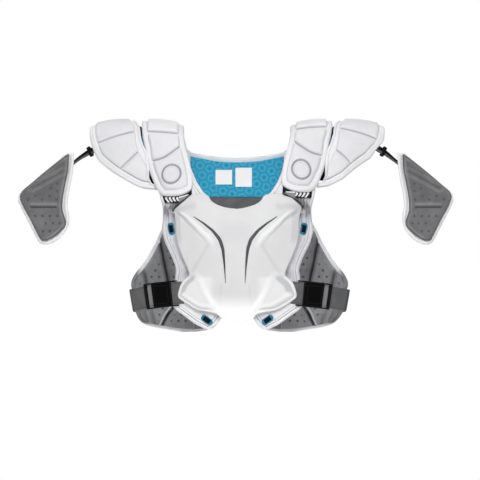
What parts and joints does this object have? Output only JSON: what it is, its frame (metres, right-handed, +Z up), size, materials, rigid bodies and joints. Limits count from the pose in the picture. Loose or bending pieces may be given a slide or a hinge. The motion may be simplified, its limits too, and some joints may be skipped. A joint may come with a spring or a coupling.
{
  "type": "lacrosse shoulder pads",
  "caption": "Worn padded guard for lacrosse: chest plate on a soft vest, wrap-round back shell, moulded strap and shoulder caps, arm pads on elastic, side straps with buckles.",
  "frame": {"origin": "midway between the shoulders, on the shoulder ridge that the pads rest on", "axes": "+Z up, the front faces -Y, +X to the right seen from the front"},
  "size_m": [0.762, 0.2449, 0.3738],
  "materials": {
    "cap_white": "smooth fabric laminated on moulded foam",
    "vest_white": "padded woven fabric with bound edges",
    "plate_white": "moulded, satin",
    "accent_grey": "satin",
    "liner_blue": "knit with a printed pattern of hexagon rings",
    "liner_grey": "perforated spacer knit",
    "elastic_grey": "woven elastic",
    "strap_black": "woven webbing",
    "trim_black": "moulded",
    "eyelet_blue": "moulded",
    "label_white": "satin label, bare"
  },
  "bodies": {
    "root": {"front_vest": "vest_white", "chest_plate": "plate_white", "back_shell": "vest_white", "yoke_liner": "liner_blue", "spine_liner": "liner_grey", "label_small": "label_white", "label_large": "label_white", "plate_slash_left": "accent_grey", "plate_slash_right": "accent_grey", "chevron_elastic_left": "elastic_grey", "chevron_elastic_right": "elastic_grey", "strap_cap_left": "cap_white", "strap_cap_right": "cap_white", "shoulder_cap_left": "cap_white", "shoulder_cap_right": "cap_white", "cap_web_left": "strap_black", "cap_web_right": "strap_black", "arm_shell_left": "cap_white", "arm_shell_right": "cap_white", "arm_liner_left": "liner_grey", "arm_liner_right": "liner_grey", "arm_strap_left": "strap_black", "arm_strap_right": "strap_black", "arm_buckle_left": "trim_black", "arm_buckle_right": "trim_black", "wing_liner_left": "liner_grey", "wing_liner_right": "liner_grey", "side_strap_left": "elastic_grey", "side_strap_right": "elastic_grey", "side_buckle_left": "trim_black", "side_buckle_right": "trim_black", "hook_tab_left": "strap_black", "hook_tab_right": "strap_black", "eyelet_ring_upper_left": "eyelet_blue", "eyelet_ring_upper_right": "eyelet_blue", "eyelet_bar_upper_left": "trim_black", "eyelet_bar_upper_right": "trim_black", "eyelet_ring_lower_left": "eyelet_blue", "eyelet_ring_lower_right": "eyelet_blue", "eyelet_bar_lower_left": "trim_black", "eyelet_bar_lower_right": "trim_black"}
  },
  "joints": []
}
